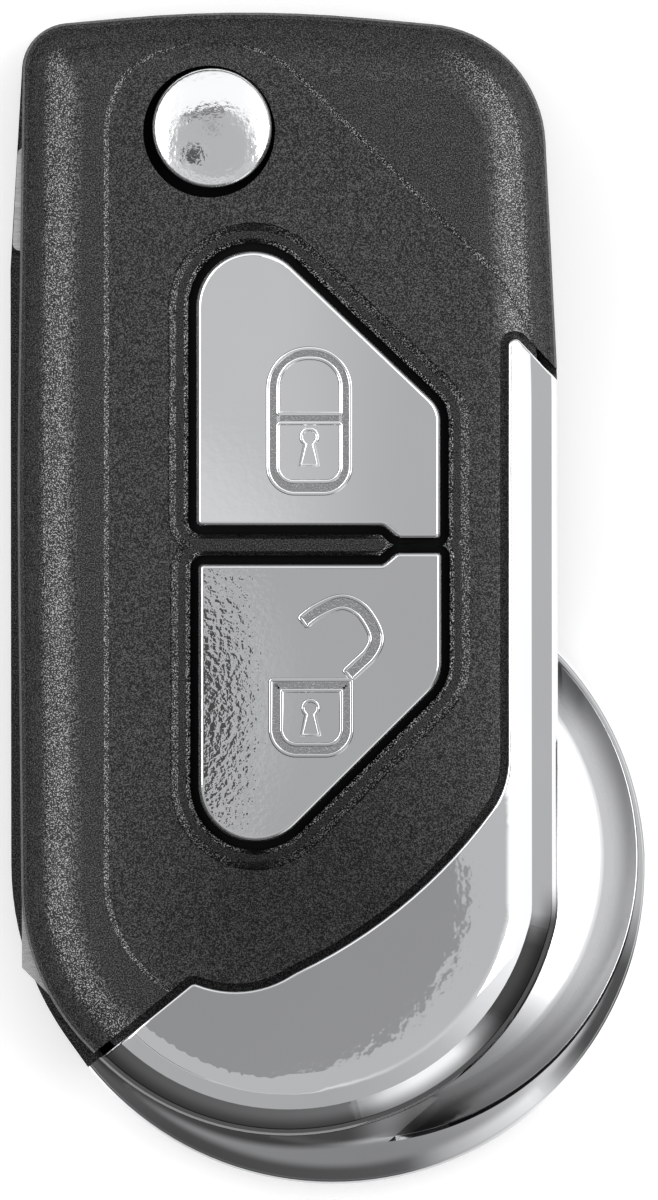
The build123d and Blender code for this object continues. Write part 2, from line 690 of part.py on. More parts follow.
with BuildPart() as release_button:
    with BuildSketch(Plane.XZ):
        with BuildLine():
            Polyline(
                (0, BUTTON_CROWN),
                (0, button_ceiling),
                (BUTTON_BORE, button_ceiling),
                (BUTTON_BORE, BUTTON_FOOT),
                (BUTTON_SKIRT_RADIUS, BUTTON_FOOT),
                (BUTTON_SKIRT_RADIUS, pocket_top - FLANGE_GAP - BUTTON_FLANGE),
                (BUTTON_FLANGE_RADIUS, pocket_top - FLANGE_GAP - BUTTON_FLANGE),
                (BUTTON_FLANGE_RADIUS, pocket_top - FLANGE_GAP),
                (BUTTON_RADIUS, pocket_top - FLANGE_GAP),
                (BUTTON_RADIUS, BUTTON_EDGE),
            )
            bulge = (BUTTON_RADIUS / 2, BUTTON_EDGE + BUTTON_BULGE * (BUTTON_CROWN - BUTTON_EDGE))
            ThreePointArc((BUTTON_RADIUS, BUTTON_EDGE), bulge, (0, BUTTON_CROWN))
        make_face()
    revolve(axis=Axis.Z)
    rim = release_button.edges().filter_by_position(Axis.Z, BUTTON_EDGE - FIT, BUTTON_EDGE + FIT)
    fillet(rim, radius=CAP_EDGE)
    # Lugs that key the button to the hub
    lug_tip = DRUM_RADIUS - FLANGE_GAP
    lug_root = BUTTON_FLANGE_RADIUS - FLANGE_GAP
    lug_foot = pocket_top - FLANGE_GAP - BUTTON_FLANGE
    for left in (-lug_tip, lug_root):
        right = left + lug_tip - lug_root
        add(box_between((left, -LUG_WIDTH / 2, lug_foot), (right, LUG_WIDTH / 2, lug_foot + BUTTON_FLANGE)))

with BuildPart() as blade_hub:
    add(rod((0, 0), DRUM_RADIUS, DRUM_FOOT, DRUM_TOP))
    add(prism(hub_face(), HUB_LOW, HUB_HIGH))
    outer_edges = blade_hub.edges().filter_by(Axis.Z).filter_by_position(Axis.X, -FAR, HUB_SHOULDER[0] + FIT)
    fillet(outer_edges, radius=HUB_EDGE)
    add(rod((0, 0), DRUM_BORE, drum_floor_top, DRUM_TOP + OVERRUN), mode=Mode.SUBTRACT)
    add(rod((0, 0), PIVOT_RADIUS + RUNNING, 0, DRUM_TOP), mode=Mode.SUBTRACT)
    slot_half = LUG_WIDTH / 2 + 2 * FIT
    slot_reach = DRUM_RADIUS + SLACK
    add(
        box_between((-slot_reach, -slot_half, LUG_SLOT_FOOT), (slot_reach, slot_half, FRONT)),
        mode=Mode.SUBTRACT,
    )
    add(
        box_between((TANG_LEFT, HUB_CORNER[1] - OVERRUN, blade_low), (TANG_RIGHT, TANG_TOP, blade_high)),
        mode=Mode.SUBTRACT,
    )
    add(rod(PIN_PLACE, PIN_RADIUS, HUB_LOW - OVERRUN, HUB_HIGH + OVERRUN), mode=Mode.SUBTRACT)

with BuildPart() as key_blade:
    with BuildSketch(Plane.XY.offset(blade_low)):
        with BuildLine():
            Polyline(
                (TANG_LEFT, TANG_TOP),
                (TANG_RIGHT, TANG_TOP),
                (TANG_RIGHT, HUB_CORNER[1]),
                (blade_right, HUB_CORNER[1]),
                (blade_right, BLADE_TIP + BLADE_TIP_CUT),
                (blade_right - BLADE_TIP_CUT, BLADE_TIP),
                (BLADE_EDGE + BLADE_TIP_CUT, BLADE_TIP),
                (BLADE_EDGE, BLADE_TIP + BLADE_TIP_CUT),
                (BLADE_EDGE, HUB_CORNER[1]),
                (TANG_LEFT, HUB_CORNER[1]),
                close=True,
            )
        make_face()
    extrude(amount=BLADE_THICKNESS)
    add(rod(PIN_PLACE, PIN_RADIUS, 0, FRONT), mode=Mode.SUBTRACT)
    # Milled grooves, one on each face, off the middle
    groove_top = HUB_CORNER[1] - BLADE_GROOVE_INSET
    under_left = BLADE_EDGE + BLADE_GROOVE_INSET
    upper_right = blade_right - BLADE_GROOVE_INSET
    add(
        box_between(
            (under_left, -2 * FAR, 0),
            (under_left + BLADE_GROOVE, groove_top, blade_low + BLADE_GROOVE_DEPTH),
        ),
        mode=Mode.SUBTRACT,
    )
    add(
        box_between(
            (upper_right - BLADE_GROOVE, -2 * FAR, blade_high - BLADE_GROOVE_DEPTH),
            (upper_right, groove_top, FRONT),
        ),
        mode=Mode.SUBTRACT,
    )

with BuildPart() as blade_pin:
    add(rod(PIN_PLACE, PIN_RADIUS, HUB_LOW, HUB_HIGH))
    add(rod(PIN_PLACE, PIN_RADIUS - PIN_WALL, 0, FRONT), mode=Mode.SUBTRACT)
    add(
        box_between(
            (PIN_PLACE[0], PIN_PLACE[1] - PIN_SLIT / 2, 0),
            (PIN_PLACE[0] + 2 * PIN_RADIUS, PIN_PLACE[1] + PIN_SLIT / 2, FRONT),
        ),
        mode=Mode.SUBTRACT,
    )

with BuildPart() as flip_spring:
    coil_height = button_ceiling - drum_floor_top - 2 * SPRING_WIRE
    with BuildLine() as coil:
        Helix(
            pitch=coil_height / SPRING_TURNS,
            height=coil_height,
            radius=SPRING_RADIUS,
            center=(0, 0, drum_floor_top + SPRING_WIRE),
        )
    with BuildSketch(coil.line ^ 0):
        Circle(SPRING_WIRE)
    sweep()


def switch_dome(centre):
    """Silicone dome that stands on the board over its switch and carries the cap."""
    plane = Plane(origin=(*centre, board_top), x_dir=(1, 0, 0), z_dir=(0, -1, 0))
    roof = DOME_HEIGHT - DOME_WALL + DOME_ROOM
    inside = DOME_RADIUS - DOME_WALL
    with BuildPart() as dome:
        with BuildSketch(plane):
            with BuildLine():
                Polyline(
                    (0, roof),
                    (SWITCH_PLUNGER_RADIUS + DOME_SLOPE, roof),
                    (inside - DOME_SLOPE, SWITCH_BODY + DOME_ROOM),
                    (inside, 0),
                    (DOME_RADIUS, 0),
                    (DOME_RADIUS, DOME_WALL),
                    (inside, DOME_WALL + DOME_FOOT),
                    (PUSHER_RADIUS, DOME_HEIGHT),
                    (0, DOME_HEIGHT),
                    close=True,
                )
            make_face()
        revolve(axis=Axis((*centre, 0), (0, 0, 1)))
    return dome.part


def tact_switch(centre):
    """Low switch: a square body with a round plunger."""
    base = (Align.CENTER, Align.CENTER, Align.MIN)
    with BuildPart() as switch:
        with Locations((*centre, board_top)):
            Box(SWITCH_SIZE, SWITCH_SIZE, SWITCH_BODY, align=base)
            Cylinder(SWITCH_PLUNGER_RADIUS, SWITCH_BODY + SWITCH_PLUNGER, align=base)
    return switch.part


with BuildPart() as lock_dome:
    add(switch_dome(LOCK_CENTRE))

with BuildPart() as unlock_dome:
    add(switch_dome(UNLOCK_CENTRE))

with BuildPart() as lock_switch:
    add(tact_switch(LOCK_CENTRE))

with BuildPart() as unlock_switch:
    add(tact_switch(UNLOCK_CENTRE))

with BuildPart() as circuit_board:
    board_middle = ((board_left + BOARD_RIGHT) / 2, (BOARD_TOP + BOARD_FOOT) / 2)
    with BuildSketch(Plane.XY.offset(BOARD_LEVEL)):
        with Locations(board_middle):
            RectangleRounded(BOARD_RIGHT - board_left, BOARD_TOP - BOARD_FOOT, BOARD_CORNER)
    extrude(amount=BOARD)

with BuildPart() as control_chip:
    with Locations((*CHIP_CENTRE, board_top)):
        Box(CHIP_SIZE, CHIP_SIZE, CHIP_HEIGHT, align=(Align.CENTER, Align.CENTER, Align.MIN))
    chamfer(control_chip.faces().sort_by(Axis.Z)[-1].edges(), length=CHIP_EDGE)

with BuildPart() as coin_cell:
    add(rod(cell_centre, CELL_RADIUS - CELL_STEP, cell_foot, cell_top))
    add(rod(cell_centre, CELL_RADIUS, cell_foot + CELL_STEP_HEIGHT, cell_top))
    fillet(coin_cell.faces().sort_by(Axis.Z)[-1].edges(), radius=CELL_EDGE)

with BuildPart() as board_carrier:
    with BuildSketch(Plane.XY.offset(carrier_floor)) as carrier_plan:
        with Locations(board_middle):
            Rectangle(BOARD_RIGHT - board_left, BOARD_TOP - BOARD_FOOT)
        with Locations(cell_centre):
            Circle(cell_ring_radius)
    extrude(amount=BOARD_LEVEL - carrier_floor)
    hollow_plan = offset(carrier_plan.sketch, amount=-CARRIER_WALL, mode=Mode.PRIVATE)
    carrier_room = extrude(
        hollow_plan.moved(Location((0, 0, CARRIER_WALL))),
        amount=BOARD_LEVEL,
        mode=Mode.PRIVATE,
    )
    add(carrier_room, mode=Mode.SUBTRACT)
    ring_top = cell_foot + CARRIER_RING
    cell_ring = rod(cell_centre, cell_ring_radius, carrier_floor, ring_top)
    add(cell_ring - rod(cell_centre, CELL_RADIUS + CELL_GAP, 0, FRONT))
    add(
        box_between(
            (board_left + CARRIER_WALL, contact_row - CONTACT_WIDTH, cell_floor),
            (cell_centre[0], contact_row + CONTACT_WIDTH, ring_top + OVERRUN),
        ),
        mode=Mode.SUBTRACT,
    )


def contact_strip(points):
    """Bent spring strip, its middle line given in the plane of the contact row."""
    plane = Plane(origin=(0, contact_row + CONTACT_WIDTH / 2, 0), x_dir=(1, 0, 0), z_dir=(0, -1, 0))
    with BuildPart() as strip:
        with BuildSketch(plane):
            with BuildLine():
                line = Polyline(*points)
            trace(line, line_width=CONTACT)
        extrude(amount=CONTACT_WIDTH)
    return strip.part


board_underside = BOARD_LEVEL - CONTACT / 2
strip_end = BOARD_RIGHT - 2 * CONTACT_FOOT
with BuildPart() as positive_contact:
    add(contact_strip([
        (BOARD_RIGHT - CONTACT_FOOT, board_underside),
        (strip_end, board_underside),
        (strip_end - CONTACT_BEND, cell_top + CONTACT_BOW),
        (strip_end - 2 * CONTACT_BEND, cell_top + CONTACT / 2 + FIT / 2),
        (strip_end - 3 * CONTACT_BEND, cell_top + CONTACT_BOW),
    ]))

with BuildPart() as negative_contact:
    add(contact_strip([
        (board_left + 2 * CONTACT_FOOT, board_underside),
        (board_left + CONTACT_FOOT, board_underside),
        (board_left + CONTACT_FOOT, cell_floor + CONTACT / 2),
        (cell_centre[0], cell_floor + CONTACT / 2),
    ]))

with BuildPart() as transponder_chip:
    with Locations((*TRANSPONDER_CENTRE, FLOOR)):
        Box(*TRANSPONDER, align=(Align.CENTER, Align.CENTER, Align.MIN))
    chamfer(transponder_chip.edges().filter_by(Axis.Y).group_by(Axis.Z)[-1], length=TRANSPONDER_EDGE)

with BuildPart() as case_screws:
    for place in SCREW_PLACES:
        with BuildSketch(radial_plane(place, 0)):
            with BuildLine():
                Polyline(
                    (0, SCREW_SUNK),
                    (SCREW_HEAD, SCREW_SUNK),
                    (SCREW_SHANK, SCREW_SUNK + SCREW_HEAD_DEPTH),
                    (SCREW_SHANK, SCREW_TIP - SCREW_SHANK),
                    (SCREW_SHANK / 3, SCREW_TIP),
                    (0, SCREW_TIP),
                    close=True,
                )
            make_face()
        revolve(axis=Axis((*place, 0), (0, 0, 1)))
        for turned in (0, 90):
            with Locations(Location((*place, SCREW_SUNK), (0, 0, turned))):
                Box(SCREW_DRIVE_SPAN, SCREW_DRIVE, 2 * SCREW_DRIVE, mode=Mode.SUBTRACT)

pieces = {
    "front_cover": front_cover,
    "back_cover": back_cover,
    "front_trim": front_trim,
    "rear_collar": rear_collar,
    "lock_button": lock_button,
    "unlock_button": unlock_button,
    "release_button": release_button,
    "blade_hub": blade_hub,
    "key_blade": key_blade,
    "blade_pin": blade_pin,
    "flip_spring": flip_spring,
    "lock_dome": lock_dome,
    "unlock_dome": unlock_dome,
    "lock_switch": lock_switch,
    "unlock_switch": unlock_switch,
    "circuit_board": circuit_board,
    "control_chip": control_chip,
    "coin_cell": coin_cell,
    "board_carrier": board_carrier,
    "positive_contact": positive_contact,
    "negative_contact": negative_contact,
    "transponder_chip": transponder_chip,
    "case_screws": case_screws,
}

os.makedirs("parts", exist_ok=True)
for name, piece in pieces.items():
    piece.part.label = name
    export_step(piece.part, f"parts/{name}.step")
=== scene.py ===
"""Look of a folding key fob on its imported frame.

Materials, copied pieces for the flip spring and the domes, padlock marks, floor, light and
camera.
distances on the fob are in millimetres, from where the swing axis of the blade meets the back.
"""
import math

import bmesh
import bpy
import mathutils
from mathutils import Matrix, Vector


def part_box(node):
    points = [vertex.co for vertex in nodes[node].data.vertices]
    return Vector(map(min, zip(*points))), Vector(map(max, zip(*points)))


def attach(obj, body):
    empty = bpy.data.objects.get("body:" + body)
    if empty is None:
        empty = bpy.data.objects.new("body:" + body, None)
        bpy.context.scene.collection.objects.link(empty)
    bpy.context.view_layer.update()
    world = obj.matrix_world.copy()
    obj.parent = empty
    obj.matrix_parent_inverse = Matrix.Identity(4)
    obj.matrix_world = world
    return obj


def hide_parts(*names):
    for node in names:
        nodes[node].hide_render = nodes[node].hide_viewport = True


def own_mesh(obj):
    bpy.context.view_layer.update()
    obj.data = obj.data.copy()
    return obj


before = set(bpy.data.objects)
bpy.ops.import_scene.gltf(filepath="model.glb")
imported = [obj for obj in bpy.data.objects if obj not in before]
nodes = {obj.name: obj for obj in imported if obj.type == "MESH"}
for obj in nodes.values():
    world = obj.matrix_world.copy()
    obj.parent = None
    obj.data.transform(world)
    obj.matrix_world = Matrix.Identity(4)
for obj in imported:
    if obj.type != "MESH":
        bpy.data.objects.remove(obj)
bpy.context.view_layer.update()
scene = bpy.context.scene

MM = 0.001
X, Y, Z = range(3)

# The photograph: its size and scale, and where the swing axis lies in it
PHOTO = (658, 1200)
PX_PER_MM = 14.625
AXIS_PX = (212.0, 128.0)
# In metres
CAMERA_HEIGHT = 0.6

# Levels under which a cap is painted black as shade: its flange lies in the shadow of the cover
CAP_SHADOW = 13.4
RELEASE_SHADOW = 13.9
# Height of the soft edge of that shadow, and the share of its colour that a cap keeps in it
SHADOW_EDGE = 0.05
SHADOW_LIGHT = 0.01

# The cover is shaded as if it were crowned about a middle, by so much for each metre
COVER_MIDDLE = (2.0, -54.0)
COVER_CROWN = (2.5, 0.6)
# Middle of its painted shade, and how much its flat parts glitter
PAINTED_SHADE_MIDDLE = (7.0, -54.0)
FLAT_GLITTER = 0.035

# Depths of the bumps, in metres
GRAIN_DEPTH = 0.00004
RIPPLE_DEPTH = 0.0001
STREAK_DEPTH = 0.00003
MOTTLE_DEPTH = 0.00005
# How much closer the streaks of brushed steel lie each way
STREAKS = (1.0, 12.0, 1.0)

# Middles of the dish in the collar and of the bezel's round lower end
DISH = (9.85, -49.9)
BEZEL_ROUND = (6.1, -50.4)

# Brightness of the tent: at the lens, straight above, round that, on its walls, in a slit, in a
# hole and round the hole
LENS = 0.365
CEILING = 0.61
WALL = 1.3
SLIT = 0.2
HOLE = 0.1
HOLE_RING = 0.74
# Soft edges in the tent, in degrees from straight above
LENS_EDGE = (2.6, 2.62)
INNER_EDGE = (31.0, 38.0)
MIDDLE_EDGE = (55.0, 68.0)
# Forms in the tent, in x and y of the unit vector that points at them, and their soft edges
PANEL_MIDDLE = (0.0, -0.16)
PANEL_REACH = (0.42, 0.38)
PANEL_EDGE = (0.84, 1.14)
SLIT_EDGE = (0.034, 0.042)
HOLE_MIDDLE = (-0.19, -0.27)
HOLE_EDGE = (0.085, 0.1)
HOLE_RING_EDGE = (0.1, 0.16)


def place(column, row):
    """Point on the fob, in metres, for a point of the photograph."""
    return (
        (column - AXIS_PX[0]) / PX_PER_MM * MM,
        (AXIS_PX[1] - row) / PX_PER_MM * MM,
    )


def px(length):
    """Length in metres for a length in the photograph's pixels."""
    return length / PX_PER_MM * MM


def grey(value):
    return (value, value, value)


def add_object(name, data):
    """New object in the scene."""
    obj = bpy.data.objects.new(name, data)
    scene.collection.objects.link(obj)
    return obj


def built(name, mesh):
    """New object from a finished bmesh."""
    data = bpy.data.meshes.new(name)
    mesh.to_mesh(data)
    mesh.free()
    return add_object(name, data)


# Camera: straight down on the front face
centre = place(PHOTO[0] / 2, PHOTO[1] / 2)
camera_data = bpy.data.cameras.new("camera")
camera_data.type = "ORTHO"
camera_data.ortho_scale = px(PHOTO[1])
camera_data.clip_start = 0.01
camera_data.clip_end = 10.0
camera = add_object("camera", camera_data)
camera.location = (*centre, CAMERA_HEIGHT)
scene.camera = camera


class Graph:
    """Short way to build a node tree. A value is a number, a tuple or another node's socket."""

    def __init__(self, tree):
        self.tree = tree

    def feed(self, socket, value):
        """Sets a socket to a number or tuple, or links it to another socket."""
        if isinstance(value, (int, float, tuple)):
            socket.default_value = value
        else:
            self.tree.links.new(value, socket)

    def add(self, kind, **values):
        """New node, its inputs and settings by name."""
        node = self.tree.nodes.new(kind)
        for key, value in values.items():
            if key in node.inputs:
                self.feed(node.inputs[key], value)
            else:
                setattr(node, key, value)
        return node

    def ramp(self, source, stops):
        """Colour by the source, from stops of a place and a colour."""
        node = self.add("ShaderNodeValToRGB", Fac=source)
        while len(node.color_ramp.elements) < len(stops):
            node.color_ramp.elements.new(0.5)
        for element, (where, colour) in zip(node.color_ramp.elements, stops):
            element.position = where
            element.color = (*colour, 1.0)
        return node.outputs["Color"]

    def math(self, operation, first, second=0.0, third=0.0):
        node = self.add("ShaderNodeMath", operation=operation)
        for socket, value in zip(node.inputs, (first, second, third)):
            self.feed(socket, value)
        return node.outputs["Value"]

    def times(self, first, *others):
        """Product of values."""
        for other in others:
            first = self.math("MULTIPLY", first, other)
        return first

    def larger(self, first, second):
        return self.math("MAXIMUM", first, second)

    def rest(self, value):
        """What the value leaves of 1."""
        return self.math("SUBTRACT", 1.0, value)

    def square(self, value):
        return self.math("POWER", value, 2.0)

    def diagonal(self, first, second):
        """Length of the hypotenuse."""
        return self.math("SQRT", self.math("ADD", self.square(first), self.square(second)))

    def between(self, source, low, high, start=0.0, end=1.0):
        """Value that goes smoothly from start to end while the source goes from low to high."""
        node = self.add("ShaderNodeMapRange", interpolation_type="SMOOTHSTEP")
        names = ("Value", "From Min", "From Max", "To Min", "To Max")
        for name, value in zip(names, (source, low, high, start, end)):
            self.feed(node.inputs[name], value)
        return node.outputs["Result"]

    def blend(self, share, low, high):
        """Value that goes from low to high as the share goes from 0 to 1."""
        return self.math("ADD", self.times(self.rest(share), low), self.times(share, high))

    def vector(self, operation, *values):
        node = self.add("ShaderNodeVectorMath", operation=operation)
        for socket, value in zip(node.inputs, values):
            self.feed(socket, value)
        return node.outputs["Vector"]

    def parts(self, vector):
        """The vector's x, y and z."""
        return self.add("ShaderNodeSeparateXYZ", Vector=vector).outputs


class Finish(Graph):
    """Material, with what its shading needs to know of the place on the fob."""

    def __init__(self, name):
        self.material = bpy.data.materials.new(name)
        self.material.use_nodes = True
        super().__init__(self.material.node_tree)
        self.shader = self.tree.nodes["Principled BSDF"]

    def give(self, name, value):
        """Sets an input of the shader."""
        self.feed(self.shader.inputs[name], value)

    def position(self):
        return self.add("ShaderNodeTexCoord").outputs["Object"]

    def normal(self):
        return self.add("ShaderNodeNewGeometry").outputs["Normal"]

    def axis(self, index):
        """One coordinate of the place, in metres."""
        return self.parts(self.position())[index]

    def where(self, source, low, high, start=0.0, end=1.0):
        """Value that goes from start to end between two places of the source in millimetres."""
        return self.between(source, low * MM, high * MM, start, end)

    def from_middle(self, middle, factors):
        """Offset in plan from a point, each coordinate times its factor."""
        offset = self.vector("SUBTRACT", self.position(), (middle[0] * MM, middle[1] * MM, 0.0))
        return self.vector("MULTIPLY", offset, (*factors, 0.0))

    def away(self, middle):
        """Distance in plan from a point, in metres."""
        node = self.add("ShaderNodeVectorMath", operation="LENGTH")
        self.feed(node.inputs[0], self.from_middle(middle, (1.0, 1.0)))
        return node.outputs["Value"]

    def noise(self, scale, detail, roughness=0.5, vector=None):
        if vector is None:
            vector = self.position()
        node = self.add(
            "ShaderNodeTexNoise", Vector=vector, Scale=scale, Detail=detail, Roughness=roughness,
        )
        return node.outputs["Fac"]

    def crowned(self, middle, crown, upright=None):
        """Surface normal that leans away from a middle, by so much for each metre.

        Upright is how much of the vertical is added, which evens out slopes."""
        total = self.vector("ADD", self.from_middle(middle, crown), self.normal())
        if upright is not None:
            lift = self.add("ShaderNodeCombineXYZ", Z=upright).outputs["Vector"]
            total = self.vector("ADD", total, lift)
        return self.vector("NORMALIZE", total)

    def scaled(self, colour, factor):
        """Colour times a value."""
        node = self.add("ShaderNodeVectorMath", operation="SCALE", Scale=factor)
        self.feed(node.inputs[0], colour)
        return node.outputs["Vector"]

    def bump(self, height, depth, strength, normal=None):
        node = self.add("ShaderNodeBump", Height=height, Distance=depth, Strength=strength)
        if normal is not None:
            self.feed(node.inputs["Normal"], normal)
        self.give("Normal", node.outputs["Normal"])


def grained_plastic(name, base, painted_slope_glint):
    """Black plastic with a fine moulded grain, painted glints on its slopes and painted shade."""
    n = Finish(name)
    fine = n.noise(12000.0, 1.0)
    specks = n.noise(11500.0, 1.0, 0.4)
    coarse = n.noise(1700.0, 3.0, 0.55)
    mixed = n.math("MULTIPLY_ADD", specks, 0.9, n.times(coarse, 0.1))
    facing = n.parts(n.normal())
    level = n.axis(Z)
    across = n.axis(X)
    moat = n.times(
        n.where(across, -4.8, -4.3), n.where(across, 16.8, 17.4, 1.0, 0.0),
        n.where(n.axis(Y), -5.6, -5.0, 1.0, 0.0),
    )

    # Painted glints: the specks are brightened on slopes high on the cover and in the moat round
    # the caps, the gap's chamfer most
    slope = n.between(n.math("ABSOLUTE", facing[X]), 0.03, 0.28)
    high = n.larger(n.where(level, 13.6, 14.05), moat)
    chamfer = n.times(moat, n.where(level, 13.97, 14.0, 3.0, 1.0))
    slope = n.times(slope, n.larger(high, chamfer))
    speck_and_painted_glint_share = n.math("MULTIPLY_ADD", slope, painted_slope_glint, FLAT_GLITTER)
    specks_and_painted_glint = n.times(n.between(mixed, 0.53, 0.66), speck_and_painted_glint_share)
    dull = n.ramp(mixed, [
        (0.4, (base * 0.4, base * 0.4, base * 0.41)),
        (0.52, (base, base, base * 1.03)),
        (0.62, (base * 2.0, base * 2.0, base * 2.05)),
    ])

    # Painted shade: the lower middle of the cover is darkest, and the moat's upper rim, ends and
    # floor are dark
    painted_shade_factor = n.where(n.away(PAINTED_SHADE_MIDDLE), 4.0, 17.0, 0.6, 1.0)
    rim = n.times(n.where(level, 14.28, 14.34), n.where(level, 14.4, 14.42, 1.0, 0.0))
    ends = n.between(n.math("ABSOLUTE", facing[Y]), 0.2, 0.5, 0.0, 0.5)
    steep = n.between(facing[Z], 0.9, 0.97, 1.0, 0.0)
    painted_shade_share = n.times(steep, n.larger(n.times(rim, 0.7), ends))
    painted_shade_share = n.larger(painted_shade_share, n.where(level, 14.01, 14.05, 0.25, 0.0))
    painted_shade_factor = n.times(painted_shade_factor, n.rest(n.times(moat, painted_shade_share)))
    n.give("Base Color", n.scaled(n.vector("ADD", dull, specks_and_painted_glint), painted_shade_factor))

    n.give("Roughness", n.ramp(coarse, [(0.3, grey(0.26)), (0.7, grey(0.34))]))
    # Painted shade and light in the shine: it is weak low on the sides and strong at the right
    n.give("Specular IOR Level", n.times(
        n.where(level, 12.6, 13.5, 0.18, 0.44), painted_shade_factor, n.between(specks, 0.38, 0.6, 0.45, 1.35),
        n.where(across, 17.0, 22.0, 1.0, 1.6),
    ))
    n.bump(fine, GRAIN_DEPTH, 0.7, n.crowned(COVER_MIDDLE, COVER_CROWN))
    return n.material


def chrome(name, base, ripple, ripple_scale, middle=(0.0, 0.0), crown=(0.0, 0.0), rough=0.02,
           shadow=None, painted_dimming=None, calm=None, blur=None, even=None):
    """Plated plastic: a mirror with a slight crown and the ripple of moulded plating.

    Below the shadow level it is painted black as shade, not metallic. The dimming function gives
    the factor of painted shade by which the plating is darker in places, and even how much its
    slopes are evened out there.
    across the fob, past which the ripple is weak. Blur is a point, two distances from it and
    the roughness inside the nearer."""
    n = Finish(name)
    cool = (base * 0.99, base, base * 1.015)
    duller = tuple(c * 0.97 for c in cool)
    colour = n.ramp(n.noise(90.0, 2.0), [(0.3, duller), (0.7, cool)])
    # Painted shade: the dimming function's factor darkens the plating in places
    if painted_dimming:
        colour = n.scaled(colour, painted_dimming(n))
    if shadow is None:
        n.give("Metallic", 1.0)
    else:
        # Below the shadow level the cap is painted black and not metallic: painted shade in the
        # gap
        edge = (n.axis(Z), shadow - SHADOW_EDGE, shadow)
        out_of_painted_shade = n.where(*edge)
        n.give("Metallic", out_of_painted_shade)
        n.give("Specular IOR Level", n.times(out_of_painted_shade, 0.5))
        colour = n.scaled(colour, n.where(*edge, SHADOW_LIGHT))
    n.give("Base Color", colour)

    smear = n.ramp(n.noise(260.0, 3.0), [(0.35, grey(rough)), (0.75, grey(rough * 1.5))])
    if blur:
        point, inside, outside, soft = blur
        smear = n.larger(smear, n.where(n.away(point), inside, outside, soft, 0.0))
    n.give("Roughness", smear)

    ripples = n.noise(ripple_scale, 2.0)
    if calm:
        ripples = n.times(ripples, n.where(n.axis(X), *calm, 1.0, 0.12))
    upright = even(n) if even else None
    n.bump(ripples, RIPPLE_DEPTH, ripple, n.crowned(middle, crown, upright))
    return n.material


def darker_right(n):
    """Painted shade: the lock cap is darker to the right."""
    return n.where(n.axis(X), 4.0, 14.5, 1.0, 0.82)


def darker_skirt(n):
    """Painted shade: the bezel's slope round the bottom darkens to its edge."""
    level = n.axis(Z)
    edge = n.where(level, 12.86, 12.95, 0.2, 1.0)
    down = n.where(level, 12.9, 13.75, 0.36, 1.0)
    bottom = n.where(n.axis(Y), -54.5, -51.5, 1.0, 0.0)
    return n.rest(n.times(bottom, n.rest(n.times(edge, down))))


def even_end(n):
    """The bezel's rounding is shaded as if it were gentler at its left end."""
    upward = n.parts(n.normal())[Z]
    steep = n.between(upward, 0.955, 0.965)
    slight = n.between(upward, 0.9992, 0.9998, 1.0, 0.0)
    return n.times(n.where(n.axis(X), 3.0, 8.0, 4.0, 0.0), n.times(steep, slight))


def in_dish(n, radius):
    """1 in the dish of the collar, 0 outside it."""
    return n.times(n.where(radius, 19.15, 19.25, 1.0, 0.0), n.where(n.axis(X), 11.0, 14.0))


def darker_collar(n):
    """Painted shade: the collar darkens to its bottom edge and just outside the bezel's, its dish
    to its rim.
    """
    along = n.axis(Y)
    fade = n.where(along, -70.0, -64.0, 0.55, 1.0)
    ring = n.where(n.away(BEZEL_ROUND), 19.0, 19.6, 1.0, 0.0)
    left = n.where(n.axis(X), 9.0, 14.0, 0.8, 0.0)
    front = n.where(along, -60.0, -56.0, 1.0, 0.0)
    band = n.times(fade, n.rest(n.times(ring, left, front)))
    radius = n.away(DISH)
    wall = n.where(radius, 17.3, 19.1, 1.0, 0.4)
    head = n.where(along, -42.0, -38.0, 1.0, 0.6)
    foot = n.where(along, -64.5, -56.5, 0.4, 1.0)
    painted_shade_share = n.times(in_dish(n, radius), n.rest(n.times(wall, n.times(head, foot))))
    return n.times(band, n.rest(painted_shade_share))


def even_wall(n):
    """The steep wall of the dish is shaded as if it were gentler."""
    radius = n.away(DISH)
    return n.times(n.where(radius, 16.4, 17.0, 0.0, 2.5), in_dish(n, radius))


def satin_metal(name, base, rough):
    """Brushed steel with fine streaks."""
    n = Finish(name)
    n.give("Metallic", 1.0)
    drawn = n.add("ShaderNodeMapping", Vector=n.position(), Scale=STREAKS).outputs["Vector"]
    streaks = n.noise(700.0, 3.0, vector=drawn)
    n.give("Base Color", n.ramp(streaks, [(0.3, grey(base * 0.8)), (0.7, grey(base))]))
    n.give("Roughness", n.ramp(streaks, [(0.3, grey(rough * 0.8)), (0.7, grey(rough * 1.3))]))
    n.bump(streaks, STREAK_DEPTH, 0.25)
    return n.material


def plain_plastic(name, colour, rough):
    """Moulded plastic, silicone or laminate with a faint mottle."""
    n = Finish(name)
    mottle = n.noise(900.0, 3.0)
    n.give("Base Color", n.ramp(mottle, [(0.35, tuple(c * 0.82 for c in colour)), (0.7, colour)]))
    n.give("Roughness", n.ramp(mottle, [(0.3, grey(rough * 0.85)), (0.7, grey(rough * 1.15))]))
    n.bump(mottle, MOTTLE_DEPTH, 0.2)
    return n.material


